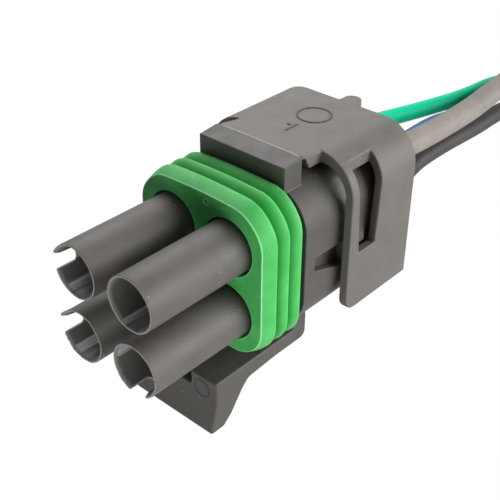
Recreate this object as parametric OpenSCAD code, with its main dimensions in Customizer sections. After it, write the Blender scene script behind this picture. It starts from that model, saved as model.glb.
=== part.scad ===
// Sealed four-way tower connector with a four-lead pigtail, in millimetres.
// Construction datum: y = 0 at the front face of the green seal, x = z = 0 in the middle of the
// four cavities, -y towards the mating half. seated() then moves everything to the part's own
// frame, with the origin under the middle of the connector at the level that it rests on.

/* [Cavities] */
// Distance between neighbouring cavity axes
pitch = 8.2; // [8:0.1:9.4]
// Outside diameter of each contact tube
tube_d = 6.3; // [5.9:0.1:6.6]
// Wall of each contact tube
tube_wall = 0.4; // [0.35:0.05:0.5]
// Reach of the tubes in front of the seal
tube_reach = 13.8; // [11:0.1:18]
// Width of the notch in a tube's mouth
notch_w = 1.9; // [1.2:0.1:2.6]
// Depth of the notch in a tube's mouth
notch_len = 2.7; // [1.5:0.1:4]
// Width of the relief groove along the floor of each tube
groove_w = 1.8; // [1.2:0.1:2]
// Depth of the relief groove
groove_depth = 0.1; // [0.05:0.05:0.15]
// Inside diameter of the ring that stops the terminal
stop_d = 3.8; // [3.2:0.1:4]
// Distance from the seal's face to the front of the stop ring
stop_y = 1; // [0.4:0.1:2]
// Length of the stop ring
stop_len = 1.6; // [1:0.1:2]
// Diameter of the bore for a cable seal
seal_bore_d = 6.9; // [6.5:0.1:7.2]

/* [Front seal] */
// Length of the seal along the connector
seal_len = 6.2; // [5:0.1:8]
// Distance from a cavity axis to the crest of the seal's ribs
seal_margin = 5.2; // [5.1:0.05:5.4]
// Number of ribs round the seal
rib_count = 3; // [2:1:4]
// Depth of the grooves between the ribs
rib_depth = 0.5; // [0.3:0.05:0.6]
// Gap between the last rib and the housing
seal_tail = 0.3; // [0.1:0.05:0.6]
// Extra thickness of each tube where the seal sits on it
seal_land = 0.2; // [0.2:0.05:0.3]
// Clearance of the seal's holes round the tubes
seal_hole_gap = 0.1; // [0.05:0.05:0.2]

/* [Housing] */
// Length of the neck between the seal and the body
neck_len = 0.5; // [0.2:0.05:0.8]
// Step from the body down to the neck
neck_step = 0.6; // [0.3:0.05:0.8]
// Distance from a cavity axis to the side of the body
body_margin = 4.95; // [4.7:0.05:5.05]
// Width of the hinge ledge on top of the housing
ledge_w = 12.4; // [10:0.2:14]
// Length of the hinge ledge
ledge_len = 2.9; // [2.4:0.1:3.4]
// Height of the hinge ledge above the cavity middle
ledge_top = 11.75; // [11.5:0.05:12.4]
// Fall of the ledge's sloped top towards the front
ledge_fall = 0.25; // [0.1:0.05:0.8]
// Depth of the pocket in each side of the body
pocket_depth = 1.1; // [0.6:0.1:1.3]
// Height of the snap nub on each side of the body
nub_h = 0.4; // [0.2:0.05:0.45]

/* [Cover] */
// Width over the cover's two flaps
cover_w = 21.2; // [20.8:0.1:23]
// Height of the cover's roof above the cavity middle
cover_top = 11.15; // [11:0.05:12]
// Length of the flaps
cover_len = 12.1; // [11:0.1:15]
// Radius between roof and flap
cover_corner = 4.85; // [4:0.05:5.2]
// Wall of the flaps
flap_wall = 1.05; // [0.8:0.05:1.2]
// Wall of the roof
roof_wall = 1.4; // [1.1:0.1:1.6]
// Wall of the comb that closes the back
comb_wall = 1.1; // [0.9:0.1:1.5]
// Reach of the flaps below the cavity middle
flap_reach = 8.4; // [7:0.1:9]
// Length of the web between ledge and roof
web_len = 3.4; // [2.4:0.1:4]
// Width of the web between ledge and roof
web_w = 12; // [8:0.2:12.4]
// Thickness of the web where it bends
film_t = 0.5; // [0.35:0.05:0.7]
// Width of the latch window in each flap
window_w = 3.7; // [3:0.1:4.2]
// Width of the slots for the leads
comb_slot_w = 4.2; // [3.8:0.1:4.6]
// Radius of the finger tab at the back of the roof
tab_r = 1.15; // [1:0.05:2]
// Reach of the finger tab behind the cover
tab_reach = 2.1; // [1.8:0.1:3.2]

/* [Lock arm] */
// Width of the lock arm
arm_w = 12.4; // [10:0.2:14]
// Thickness of the lock arm
arm_t = 2; // [1.6:0.1:2.4]
// Gap between the seal's ribs and the top of the arm
arm_gap = 1.7; // [1.3:0.1:2.2]
// Reach of the arm in front of the seal's face
arm_reach = 4.2; // [3:0.1:6]
// Depth of the flared lip below the arm's top
lip_drop = 6.9; // [5:0.1:8]
// Width of the latch window in the arm
latch_w = 4.4; // [4.2:0.1:5.4]
// Length of the latch window behind the lip
latch_len = 5; // [4.6:0.1:6]
// Diameter of the arm's round root
root_d = 2.4; // [2:0.1:2.8]

/* [Terminals] */
// Diameter of the contact pin
pin_d = 2.4; // [1.8:0.1:2.8]
// Distance from the tube's mouth to the tip of the pin
pin_recess = 5.3; // [4.6:0.1:7]
// Diameter of the terminal's round body
term_d = 4.4; // [4.1:0.1:4.8]
// Length of the terminal's round body
term_len = 6; // [5:0.1:6.4]
// Thickness of the terminal's sheet
sheet_t = 0.35; // [0.25:0.05:0.4]
// Length of the crimp on the copper
copper_len = 3.4; // [2.4:0.1:3.8]

/* [Cable seals] */
// Length of the ribbed part of a cable seal
cable_seal_len = 6; // [5:0.1:6.4]
// Recess of the cable seals in the back of the body
cable_seal_recess = 1; // [0.5:0.1:1.5]
// Diameter of the neck that the terminal grips
neck_d = 4.1; // [4:0.05:4.3]

/* [Leads] */
// Diameter of the green lead
green_d = 2.2; // [1.8:0.1:2.4]
// Diameter of the gray lead
gray_d = 3.1; // [2.6:0.1:3.2]
// Diameter of the blue lead
blue_d = 2.2; // [1.8:0.1:2.4]
// Diameter of the black lead
black_d = 2.4; // [2:0.1:2.6]
// Part of a lead's diameter that is copper
core_part = 0.6; // [0.5:0.02:0.66]
// Length of bare copper at a lead's far end
strip_len = 6; // [3:0.5:10]

/* [Hidden] */
$fn = 48;

// Overlap that makes unions sure, reach of a cutting tool past a face, and fits
bite = 0.2;
over = 0.6;
fit_gap = 0.05;
hinge_gap = 0.1;
seat_gap = 0.3;
flap_gap = 0.5;

half = pitch / 2;
tube_r = tube_d / 2;
land_d = tube_d + 2 * seal_land;
bore_r = tube_r - tube_wall;
body_y = seal_len + seal_tail;
neck_end = body_y + neck_len;
ledge_end = body_y + ledge_len;
web_y = ledge_end + hinge_gap;
cover_y = web_y + web_len;
cover_end = cover_y + cover_len;
comb_y = cover_end - comb_wall;
body_end = comb_y - seat_gap;
flap_x = cover_w / 2;
side_x = flap_x - flap_wall - flap_gap;
side_z = half + body_margin;
rib_x = half + seal_margin;
seal_square = 0.9;
roof_low = cover_top - roof_wall;

// Along each cavity, from the front
seal_room = 1;
crimp_gap = 0.9;
grip_len = 2;
stop_end = stop_y + stop_len;
cable_seal_end = body_end - cable_seal_recess;
cable_seal_y = cable_seal_end - cable_seal_len;
wide_bore_y = cable_seal_y - seal_room;
body_back = stop_end + term_len;
copper_y = body_back + crimp_gap;
strip_y = copper_y + copper_len;

// Lock arm, from the top of its plate down
root_setback = 0.7;
root_hang = 0.85;
arm_top = -rib_x - arm_gap;
arm_low = arm_top - arm_t;
lip_low = arm_top - lip_drop;
lip_back = 1.2;
root_r = root_d / 2;
root_y = ledge_end + root_setback;
root_z = -side_z - root_hang;

// Windows in the flaps and the nubs under them
window_setback = 1.3;
window_y = cover_y + window_setback;
window_end = window_y + window_w;
window_low = -0.9;
nub_side_gap = 0.6;

// Frame of the part: origin under its middle, at the level that it rests on
rear_y = cover_end + tab_reach;
mid_y = (rear_y - tube_reach) / 2;
base_z = lip_low;

// Cavities seen from the front: green top left, gray top right, blue and black below
CAVITY = [[-half, half], [half, half], [-half, -half], [half, -half]];
LEAD_D = [green_d, gray_d, blue_d, black_d];
LEAD_COLOR = ["mediumseagreen", "rosybrown", "steelblue", "dimgray"];
lead_sides = 8;
lead_steps = 3;

// Points that the leads pass behind the comb, in the part's frame, down to the surface they lie on
GREEN_ROUTE = [[-4.1, 20, 22], [-3.1, 28.5, 21.5], [-1.1, 37, 21.1], [0.7, 45, 20.9], [1.3, 54, 20.4],
  [1.1, 66, 17.2], [-0.1, 84, 8.2], [-1, 99, 2.4], [-1.3, 110, 1.25], [-1.5, 120, 1.15], [-1.6, 156, 1.15]];
GRAY_ROUTE = [[4.1, 19, 22], [4.5, 31, 21.6], [4.4, 41, 21.5], [4.3, 49, 22.2], [4.3, 56, 22.6],
  [4.2, 68, 19.3], [4, 84, 10.5], [3.6, 99, 3.6], [3.3, 111, 1.75], [3.1, 121, 1.6], [3, 154, 1.6]];
BLUE_ROUTE = [[-4.1, 20, 13.8], [-4.1, 28, 14.2], [-4.1, 38, 14.7], [-4.1, 47, 14.7], [-4.3, 58, 12.4],
  [-4.8, 70, 8], [-5.3, 84, 3.6], [-5.9, 97, 1.6], [-6.3, 110, 1.15], [-6.8, 158, 1.15]];
BLACK_ROUTE = [[4.1, 18.5, 13.8], [4.1, 22, 14.8], [4.1, 28, 17.7], [4.1, 33, 18.2], [4.1, 44, 17.8],
  [4.3, 53, 17.7], [5.3, 64, 15.2], [6.9, 80, 8.1], [7.8, 94, 2.85], [8.2, 106, 1.4], [8.4, 116, 1.25],
  [8.5, 156, 1.25]];
LEAD_ROUTE = [GREEN_ROUTE, GRAY_ROUTE, BLUE_ROUTE, BLACK_ROUTE];

// Puts what is drawn on the construction datum into the part's frame
module seated() { translate([0, -mid_y, -base_z]) children(); }

// Extrudes an x-z outline from y0 to y1
module along_y(y0, y1) { translate([0, y1, 0]) rotate([90, 0, 0]) linear_extrude(y1 - y0) children(); }

// Extrudes a y-z outline between x0 and x1
module along_x(x0, x1) { translate([x0, 0, 0]) rotate([90, 0, 90]) linear_extrude(x1 - x0) children(); }

// Spins a half section, drawn as radius and y, about the y axis
module turned() { rotate([-90, 0, 0]) rotate_extrude() children(); }

// Round bar along y
module bar(d, y0, y1) { translate([0, y1, 0]) rotate([90, 0, 0]) cylinder(d = d, h = y1 - y0); }

// Places the children on the axis of cavity i
module at_cavity(i) { translate([CAVITY[i][0], 0, CAVITY[i][1]]) children(); }

module at_cavities() { for (i = [0:3]) at_cavity(i) children(); }

// Both sides of the connector
module both_sides() {
  children();
  mirror([1, 0, 0]) children();
}

// Rounded block round the four cavities, x and z from its middle to its sides
module block_outline(x, z, corner) {
  square([2 * (x - corner), 2 * z], center = true);
  square([2 * x, 2 * (z - corner)], center = true);
  for (s = [-1, 1], t = [-1, 1]) translate([s * (x - corner), t * (z - corner)]) circle(corner);
}

// Outline of the body, drawn in by a step
module body_outline(step) {
  block_outline(side_x - step, side_z - step, min(side_x - half, body_margin) - step);
}

// Outline of the seal at a distance from the cavity axes
module seal_outline(margin) { block_outline(half + margin, half + margin, margin - seal_square); }

// Housing: tubes, body with four stepped cavities, hinge ledge, arm seat and snap nubs
module housing() {
  color("#3a3a3a") seated() difference() {
    union() {
      at_cavities() bar(tube_d, -tube_reach, body_y + bite);
      at_cavities() bar(land_d, -hinge_gap, body_y + bite);
      along_y(body_y, neck_end + bite) body_outline(neck_step);
      along_y(neck_end, body_end) body_outline(0);
      hinge_ledge();
      arm_boss();
      both_sides() snap_nub();
    }
    at_cavities() cavity();
    arm_seat();
    tube_notches();
    both_sides() side_pocket();
  }
}

// Inside of one cavity: contact bore, stop ring, terminal bore and wide bore for the cable seal
module cavity() {
  mouth = -tube_reach - over;
  bar(2 * bore_r, mouth, stop_y);
  bar(stop_d, stop_y - over, stop_end + over);
  bar(2 * bore_r, stop_end, wide_bore_y + over);
  bar(seal_bore_d, wide_bore_y, body_end + over);
  translate([-groove_w / 2, mouth, -bore_r - groove_depth]) cube([groove_w, -mouth, bore_r]);
}

// Notches in the mouths of three of the tubes, turned to the left or down
module tube_notches() {
  for (spot = [[0, 180], [2, 180], [3, 90]]) at_cavity(spot[0]) rotate([0, spot[1], 0]) tube_notch();
}

// One notch on a tube's +x side, with round inner corners
module tube_notch() {
  round_r = 0.4;
  front = -tube_reach - over;
  back = -tube_reach + notch_len;
  side = notch_w / 2 - round_r;
  along_x(bore_r / 2, tube_r + over) {
    translate([front, -notch_w / 2]) square([back - round_r - front, notch_w]);
    translate([front, -side]) square([back - front, 2 * side]);
    for (z = [-side, side]) translate([back - round_r, z]) circle(round_r);
  }
}

// Ledge that the cover is hinged to, with a sloped top
module hinge_ledge() {
  foot = side_z - neck_step - bite;
  land = 0.3;
  along_x(-ledge_w / 2, ledge_w / 2) polygon([[body_y, foot], [body_y, ledge_top - ledge_fall],
    [ledge_end - land, ledge_top], [ledge_end, ledge_top], [ledge_end, foot]]);
}

// Boss under the body round the root of the lock arm
module arm_boss() {
  rim = 0.3;
  boss_half = root_r + rim;
  boss_low = root_z + root_r / 2;
  along_x(-arm_w / 2, arm_w / 2)
    translate([root_y - boss_half, boss_low]) square([2 * boss_half, -side_z + bite - boss_low]);
}

// Round seat for the root of the lock arm, cut through the boss into the body
module arm_seat() {
  along_x(-arm_w / 2 - over, arm_w / 2 + over) translate([root_y, root_z]) circle(root_r + fit_gap);
}

// Ramp that the lower edge of the flap's window snaps under
module snap_nub() {
  nub_y = window_y + nub_side_gap;
  nub_low = window_low + seat_gap / 2;
  nub_edge = 0.75;
  ramp = 2.4;
  along_y(nub_y, window_end - nub_side_gap) polygon([[side_x - bite, nub_low], [side_x + nub_h, nub_low],
    [side_x + nub_h, nub_low + nub_edge], [side_x - bite, nub_low + nub_edge + ramp]]);
}

// Flared pocket between the upper and the lower cavity
module side_pocket() {
  pocket_lead = 0.65;
  front = ledge_end - pocket_lead;
  back = window_y - hinge_gap;
  flare = 4.1;
  pocket_top = 0.5;
  narrow = -1.1;
  wide = -2.4;
  along_x(side_x - pocket_depth, side_x + over)
    polygon([[front, pocket_top], [front, narrow], [front + flare, wide], [back, wide], [back, pocket_top]]);
}

// Seal: ribbed rubber block on the four tubes, against the body
module front_seal() {
  rib_len = seal_len / rib_count;
  color("#4dbb62") seated() difference() {
    union() {
      along_y(rib_len / 2, body_y) seal_outline(seal_margin - rib_depth);
      seal_rib(0, seal_margin - rib_depth / 2, rib_len / 6);
      for (i = [1:rib_count - 1]) seal_rib(i * rib_len, seal_margin - rib_depth, rib_len / 2);
    }
    at_cavities() bar(land_d + 2 * seal_hole_gap, -over, body_y + over);
  }
}

// One rib from y on: it rises from the margin low over the length rise, then drops to a groove
module seal_rib(y, low, rise) {
  rib_len = seal_len / rib_count;
  groove = 0.2;
  hull() {
    along_y(y, y + rib_len - groove) seal_outline(low, $fn = 32);
    along_y(y + rise, y + rib_len - groove) seal_outline(seal_margin, $fn = 32);
  }
}

// Cover outline in the x-z plane: roof, two round corners and two flaps
module saddle_outline(x, top, corner, low) {
  translate([-x, low]) square([2 * x, top - corner - low]);
  translate([corner - x, low]) square([2 * (x - corner), top - low]);
  for (s = [-1, 1]) translate([s * (x - corner), top - corner]) circle(corner);
}

// Cover that swings down over the back: roof, flaps, comb for the leads, web and finger tab
module secondary_lock() {
  color("#454545") seated() {
    difference() {
      intersection() {
        along_y(cover_y, cover_end) saddle_outline(flap_x, cover_top, cover_corner, -flap_reach);
        along_x(-flap_x, flap_x) flap_side();
      }
      along_y(cover_y - over, comb_y)
        saddle_outline(flap_x - flap_wall, roof_low, cover_corner - roof_wall, -flap_reach - over);
      both_sides() flap_window();
      both_sides() comb_slot();
    }
    cover_web();
    finger_tab();
  }
}

// Side view of a flap, with a round lower front corner
module flap_side() {
  round_r = 1.8;
  full = cover_top + flap_reach;
  translate([cover_y + round_r, -flap_reach]) square([cover_len - round_r, full]);
  translate([cover_y, round_r - flap_reach]) square([cover_len, full - round_r]);
  translate([cover_y + round_r, round_r - flap_reach]) circle(round_r);
}

// Window in the flap that reaches round the corner into the roof
module flap_window() {
  cut_depth = 2;
  sill_setback = 0.6;
  lean = 0.4;
  bend_z = cover_top - 4;
  along_x(flap_x - cut_depth, flap_x + over) polygon([[window_y + sill_setback, window_low],
    [window_end - hinge_gap, window_low], [window_end + lean, bend_z], [window_end + lean, cover_top + over],
    [window_y, cover_top + over], [window_y, bend_z]]);
}

// Slot over one upper and one lower lead, open at the bottom
module comb_slot() {
  along_y(comb_y - over, cover_end + over) {
    translate([half, half]) circle(d = comb_slot_w);
    translate([half - comb_slot_w / 2, -flap_reach - over]) square([comb_slot_w, half + flap_reach + over]);
  }
}

// Web that bends beside the ledge and thickens into the roof
module cover_web() {
  film_len = 0.6;
  haunch = 0.8;
  root = cover_y + bite;
  along_x(-web_w / 2, web_w / 2) polygon([[web_y, ledge_top], [web_y, ledge_top - film_t],
    [web_y + film_len, ledge_top - film_t], [web_y + film_len + haunch, roof_low], [root, roof_low],
    [root, cover_top], [cover_y, cover_top]]);
}

// Round tab for a fingertip at the back edge of the roof
module finger_tab() {
  tab_x = 0.3;
  stem_y = cover_end - bite;
  tab_y = cover_end + tab_reach - tab_r;
  translate([tab_x, tab_y, roof_low]) cylinder(r = tab_r, h = roof_wall);
  translate([tab_x - tab_r, stem_y, roof_low]) cube([2 * tab_r, tab_y - stem_y, roof_wall]);
}

// Lock arm under the tubes: sprung plate with a latch window and a flared lip
module lock_arm() {
  color("#404040") seated() difference() {
    along_x(-arm_w / 2, arm_w / 2) arm_side();
    arm_recess(arm_low, -arm_reach - over, lip_back + bite);
    arm_recess(lip_low, lip_back, lip_back + latch_len);
  }
}

// Cut of the latch window's width, from height low upwards
module arm_recess(low, y0, y1) {
  translate([-latch_w / 2, y0, low]) cube([latch_w, y1 - y0, arm_top - low + over]);
}

// Side view of the lock arm: plate, round tail and root, and the lip that flares down at its front
module arm_side() {
  tail_r = 1;
  tail_y = root_y + root_r - tail_r;
  translate([-arm_reach, arm_low]) square([tail_y + arm_reach, arm_t]);
  translate([root_y - root_r, arm_low + tail_r]) square([root_d, root_z - arm_low - tail_r]);
  translate([tail_y, arm_low + tail_r]) circle(tail_r);
  translate([root_y, root_z]) circle(root_r);
  lip_side();
}

// Side view of the lip: it flares forwards and down to a flat foot and rises in a hollow behind it
module lip_side() {
  flare = 0.9;
  flare_z = arm_low - 0.8;
  tip_y = -arm_reach - flare;
  tip_r = 0.4;
  foot_end = tip_y + 2.1;
  heel = [foot_end + 1.3, lip_low + 1.1];
  hollow = [lip_back - 1, arm_low - 1.2];
  blend_z = arm_low - 0.3;
  translate([tip_y + tip_r, lip_low + tip_r]) circle(tip_r);
  polygon([[-arm_reach, arm_low + bite], [-arm_reach, flare_z], [tip_y + tip_r / 2, lip_low + 3 * tip_r],
    [tip_y, lip_low + tip_r], [tip_y + tip_r, lip_low], [foot_end, lip_low], heel, hollow,
    [lip_back, blend_z], [root_y - root_r, arm_low + bite]]);
}

// Terminal: turned pin and body, then a strip with the crimps on the copper and on the cable seal
module terminal(i) {
  core_r = LEAD_D[i] * core_part / 2;
  copper_r = core_r + fit_gap;
  neck_r = neck_d / 2 + fit_gap;
  grip_end = cable_seal_y - seat_gap;
  grip_y = grip_end - grip_len;
  color("#c9b27a") seated() at_cavity(i) {
    pin_and_body();
    difference() {
      union() {
        terminal_strip(body_back - seat_gap, strip_y - hinge_gap, copper_r);
        bar(2 * (copper_r + sheet_t), copper_y, strip_y - seat_gap);
        bar(2 * (neck_r + sheet_t), grip_y, grip_end);
      }
      bar(2 * copper_r, copper_y - hinge_gap, strip_y + over);
      bar(2 * neck_r, grip_y - hinge_gap, cable_seal_y);
    }
    terminal_strip(strip_y - seat_gap, grip_y + hinge_gap, neck_r);
    terminal_step(copper_r, neck_r);
  }
}

// Flat strip under the copper, its top at radius r
module terminal_strip(y0, y1, r) {
  strip_w = 1.6;
  translate([-strip_w / 2, y0, -r - sheet_t]) cube([strip_w, y1 - y0, sheet_t]);
}

// Step in front of the insulation, from the strip at radius r0 down to the strip at radius r1
module terminal_step(r0, r1) {
  step_w = 1.6;
  step_y = strip_y - seat_gap - hinge_gap;
  translate([-step_w / 2, step_y, -r1 - sheet_t]) cube([step_w, seat_gap, r1 - r0 + sheet_t]);
}

// Turned front of the terminal
module pin_and_body() {
  tip_y = -tube_reach + pin_recess;
  tip_len = 1;
  tip_part = 0.45;
  waist_len = 1.2;
  pin_r = pin_d / 2;
  body_r = term_d / 2;
  waist_r = body_r - 0.5;
  waist_y = body_back - waist_len;
  turned() polygon([[0, tip_y], [pin_r * tip_part, tip_y], [pin_r, tip_y + tip_len], [pin_r, stop_end],
    [body_r, stop_end], [body_r, waist_y], [waist_r, waist_y], [waist_r, body_back], [0, body_back]]);
}

// Cable seal: ribbed sleeve round the lead with a neck at its front
module cable_seal(i) {
  neck_len = 2.3;
  core_d = seal_bore_d - 1.1;
  thick_lead = LEAD_D[i] > (LEAD_D[0] + LEAD_D[1]) / 2;
  color(thick_lead ? "#8d8f92" : "#57b06a") seated() at_cavity(i) difference() {
    union() {
      bar(core_d, cable_seal_y, cable_seal_end);
      for (part = [1, 3, 5]) cable_seal_rib(cable_seal_y + cable_seal_len * part / 6);
      bar(neck_d, cable_seal_y - neck_len, cable_seal_y + bite);
    }
    bar(LEAD_D[i] + 2 * fit_gap, cable_seal_y - neck_len - over, cable_seal_end + over);
  }
}

// One rounded rib of a cable seal, centred on y
module cable_seal_rib(y) {
  rib_r = 0.7;
  crest = seal_bore_d / 2 - fit_gap;
  translate([0, y, 0]) turned() translate([crest - rib_r, 0]) circle(rib_r, $fn = 24);
}

// Corners of lead i: its crimp, a straight run through the cable seal, then its route
function corners(i) = let (c = CAVITY[i]) concat([for (y = [strip_y, cable_seal_end])
  [c[0], y - mid_y, c[1] - base_z]], LEAD_ROUTE[i]);

// Direction of a row of points at point j, from the point before to the point after
function heading(p, j) = let (n = len(p) - 1, d = p[min(j + 1, n)] - p[max(j - 1, 0)]) d / norm(d);

// Point at part s of the way from a to b along a cubic with end tangents ta and tb
function cubic(a, b, ta, tb, s) = (1 + 2 * s) * pow(1 - s, 2) * a + s * s * (3 - 2 * s) * b
  + s * pow(1 - s, 2) * ta - s * s * (1 - s) * tb;

// Smooth row of points through the corners p, each tangent as long as its span
function smooth(p) = let (n = len(p) - 1) concat([for (j = [0:n - 1], k = [0:lead_steps - 1])
  let (span = norm(p[j + 1] - p[j]))
  cubic(p[j], p[j + 1], span * heading(p, j), span * heading(p, j + 1), k / lead_steps)], [p[n]]);

// Ring of points round p, square to the direction t
function ring(p, t, r) = let (side = cross(t, [0, 0, 1]), s = side / norm(side), u = cross(s, t))
  [for (k = [0:lead_sides - 1]) let (a = 360 * k / lead_sides) p + r * (cos(a) * s + sin(a) * u)];

// Lead: a plain tube swept along its smooth route
module lead(i) {
  line = smooth(corners(i));
  n = len(line);
  rings = [for (j = [0:n - 1]) each ring(line[j], heading(line, j), LEAD_D[i] / 2)];
  walls = [for (j = [0:n - 2], k = [0:lead_sides - 1]) let (a = j * lead_sides, m = (k + 1) % lead_sides)
    [a + k, a + m, a + m + lead_sides, a + k + lead_sides]];
  front = [for (k = [0:lead_sides - 1]) lead_sides - 1 - k];
  back = [for (k = [0:lead_sides - 1]) (n - 1) * lead_sides + k];
  color(LEAD_COLOR[i]) polyhedron(points = rings, faces = concat([front], walls, [back]), convexity = 4);
}

// Copper of a lead: the end in the crimp and the stripped far end
module conductor(i) {
  core_d = LEAD_D[i] * core_part;
  tail = LEAD_ROUTE[i][len(LEAD_ROUTE[i]) - 1];
  color("#b87a45") {
    seated() at_cavity(i) bar(core_d, copper_y, strip_y);
    translate([tail[0], 0, tail[2]]) bar(core_d, tail[1], tail[1] + strip_len);
  }
}

housing();
front_seal();
secondary_lock();
lock_arm();
terminal(0);  // terminal_green
terminal(1);  // terminal_gray
terminal(2);  // terminal_blue
terminal(3);  // terminal_black
cable_seal(0);  // cable_seal_green
cable_seal(1);  // cable_seal_gray
cable_seal(2);  // cable_seal_blue
cable_seal(3);  // cable_seal_black
lead(0);  // lead_green
lead(1);  // lead_gray
lead(2);  // lead_blue
lead(3);  // lead_black
conductor(0);  // conductor_green
conductor(1);  // conductor_gray
conductor(2);  // conductor_blue
conductor(3);  // conductor_black
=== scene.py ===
import math

import bmesh
import bpy
import numpy as np
from mathutils import Matrix, Vector


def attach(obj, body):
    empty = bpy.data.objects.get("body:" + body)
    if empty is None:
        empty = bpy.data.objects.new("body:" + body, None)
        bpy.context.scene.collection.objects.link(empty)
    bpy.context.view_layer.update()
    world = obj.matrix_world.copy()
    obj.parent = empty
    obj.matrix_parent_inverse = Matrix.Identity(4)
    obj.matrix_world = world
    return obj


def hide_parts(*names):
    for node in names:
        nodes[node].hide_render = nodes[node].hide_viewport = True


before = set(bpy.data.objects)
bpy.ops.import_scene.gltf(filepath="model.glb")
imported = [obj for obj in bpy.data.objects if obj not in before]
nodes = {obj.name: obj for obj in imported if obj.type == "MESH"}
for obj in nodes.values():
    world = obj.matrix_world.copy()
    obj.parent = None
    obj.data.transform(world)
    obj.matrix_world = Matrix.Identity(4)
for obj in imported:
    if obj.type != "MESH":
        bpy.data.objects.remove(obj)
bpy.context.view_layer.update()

mm = 0.001
leadNames = ["green", "gray", "blue", "black"]

# sizes that several pieces share, in millimetres: half the spacing of the cavities, the seal's front face
# along y, and the height of the middle of the four cavities
shared = {"half": 4.1, "sealFront": -6.65, "middle": 17.9}
datum = (0, shared["sealFront"], shared["middle"])
cavityAt = {"green": (-1, 1), "gray": (1, 1), "blue": (-1, -1), "black": (1, -1)}

# a ring of poleRadius closes a surface: its points are merged into one, as all are that lie within mergeAt
poleRadius = 0.0002
mergeAt = 0.0005

# the camera at the photograph's viewing angle, in millimetres and degrees; near and far are in metres
camera = {"position": (60.853, -66.583, 75.903), "azimuth": 41.8, "elevation": 33.306, "roll": 0.378,
          "lens": 67.917, "sensor": 36, "near": 0.005, "far": 20}


def makeCamera():
    # its back points to azimuth and elevation; level and upright are square to that and turn by the roll
    azimuth, elevation, roll = (math.radians(camera[k]) for k in ("azimuth", "elevation", "roll"))
    back = Vector((math.sin(azimuth) * math.cos(elevation), -math.cos(azimuth) * math.cos(elevation),
                   math.sin(elevation)))
    level = Vector((math.cos(azimuth), math.sin(azimuth), 0))
    upright = back.cross(level)
    right = level * math.cos(roll) + upright * math.sin(roll)
    up = upright * math.cos(roll) - level * math.sin(roll)
    place = Matrix((right, up, back)).transposed().to_4x4()
    place.translation = Vector(camera["position"]) * mm
    lens = bpy.data.cameras.new("studioCamera")
    lens.lens, lens.sensor_width = camera["lens"], camera["sensor"]
    lens.clip_start, lens.clip_end = camera["near"], camera["far"]
    made = bpy.data.objects.new("studioCamera", lens)
    made.matrix_world = place
    bpy.context.scene.collection.objects.link(made)
    bpy.context.scene.camera = made


makeCamera()
print("camera placed")


def fullTurn(count):
    # equal angles round a full turn
    return np.arange(count) * 2 * math.pi / count


def gridFaces(rows, cols, wrap=True, flip=False):
    # quads between neighbouring rows and columns; with wrap the last column joins the first
    r = np.arange(rows - 1)[:, None]
    c = np.arange(cols if wrap else cols - 1)[None, :]
    n = (c + 1) % cols
    quads = np.stack([r * cols + c, r * cols + n, (r + 1) * cols + n, (r + 1) * cols + c], -1)
    return (quads[..., ::-1] if flip else quads).reshape(-1, 4)


def joinParts(parts):
    # puts several (points, faces) pairs into one pair, each face list moved up by the points before it
    points, faces, start = [], [], 0
    for p, f in parts:
        points.append(p)
        faces += [[i + start for i in face] for face in np.asarray(f).tolist()]
        start += len(p)
    return np.concatenate(points), faces


def makePiece(name, points, faces, material, slot, body, sharp=None, within=mergeAt, uv=None):
    # points in millimetres, merged where they lie within this distance; an edge is sharp from this angle on
    mesh = bpy.data.meshes.new(name)
    mesh.from_pydata((np.asarray(points, float) * mm).tolist(), [], np.asarray(faces).tolist())
    if uv is not None:
        corners = np.zeros(len(mesh.loops), np.int32)
        mesh.loops.foreach_get("vertex_index", corners)
        layer = mesh.uv_layers.new(name="along")
        layer.data.foreach_set("uv", uv[corners].astype(np.float32).ravel())
    work = bmesh.new()
    work.from_mesh(mesh)
    bmesh.ops.remove_doubles(work, verts=work.verts, dist=within * mm)
    bmesh.ops.recalc_face_normals(work, faces=work.faces)
    work.to_mesh(mesh)
    work.free()
    mesh.polygons.foreach_set("use_smooth", np.ones(len(mesh.polygons), bool))
    if sharp:
        mesh.set_sharp_from_angle(angle=math.radians(sharp))
    mesh.materials.append(material)
    made = bpy.data.objects.new(name, mesh)
    bpy.context.scene.collection.objects.link(made)
    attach(made, body)
    return made


def addNode(tree, kind, settings=None, inputs=None):
    # an input that is another node's socket is linked, and any other value is set on the socket itself
    made = tree.nodes.new(kind)
    for key, value in (settings or {}).items():
        setattr(made, key, value)
    for key, value in (inputs or {}).items():
        if isinstance(value, bpy.types.NodeSocket):
            tree.links.new(value, made.inputs[key])
        else:
            made.inputs[key].default_value = value
    return made


def noise(tree, at, scale, detail=3, roughness=0.5):
    # cloudy pattern whose patches are about 1/scale metres wide
    values = {"Vector": at, "Scale": scale, "Detail": detail, "Roughness": roughness}
    return addNode(tree, "ShaderNodeTexNoise", None, values).outputs["Fac"]


def streakNoise(tree, at, scales):
    # the cloudy pattern with its own scale along each coordinate, so that it draws out into streaks
    stretched = addNode(tree, "ShaderNodeMapping", None, {"Vector": at, "Scale": scales}).outputs["Vector"]
    return noise(tree, stretched, 1.0)


def remap(tree, value, low, high, out=(0.0, 1.0), smooth=False):
    # straight line, or a smooth step, from low..high to the two values of out, held at its ends
    made = addNode(tree, "ShaderNodeMapRange", {"interpolation_type": "SMOOTHSTEP" if smooth else "LINEAR"},
                   {0: value, 1: low, 2: high, 3: out[0], 4: out[1]})
    return made.outputs[0]


def blendColours(tree, share, a, b):
    # a where share is 0, b where it is 1
    return addNode(tree, "ShaderNodeMix", {"data_type": "RGBA"}, {0: share, 6: a, 7: b}).outputs[2]


def maths(tree, operation, a, b):
    # one sum, product or other operation on two values
    return addNode(tree, "ShaderNodeMath", {"operation": operation}, {0: a, 1: b}).outputs[0]


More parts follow.
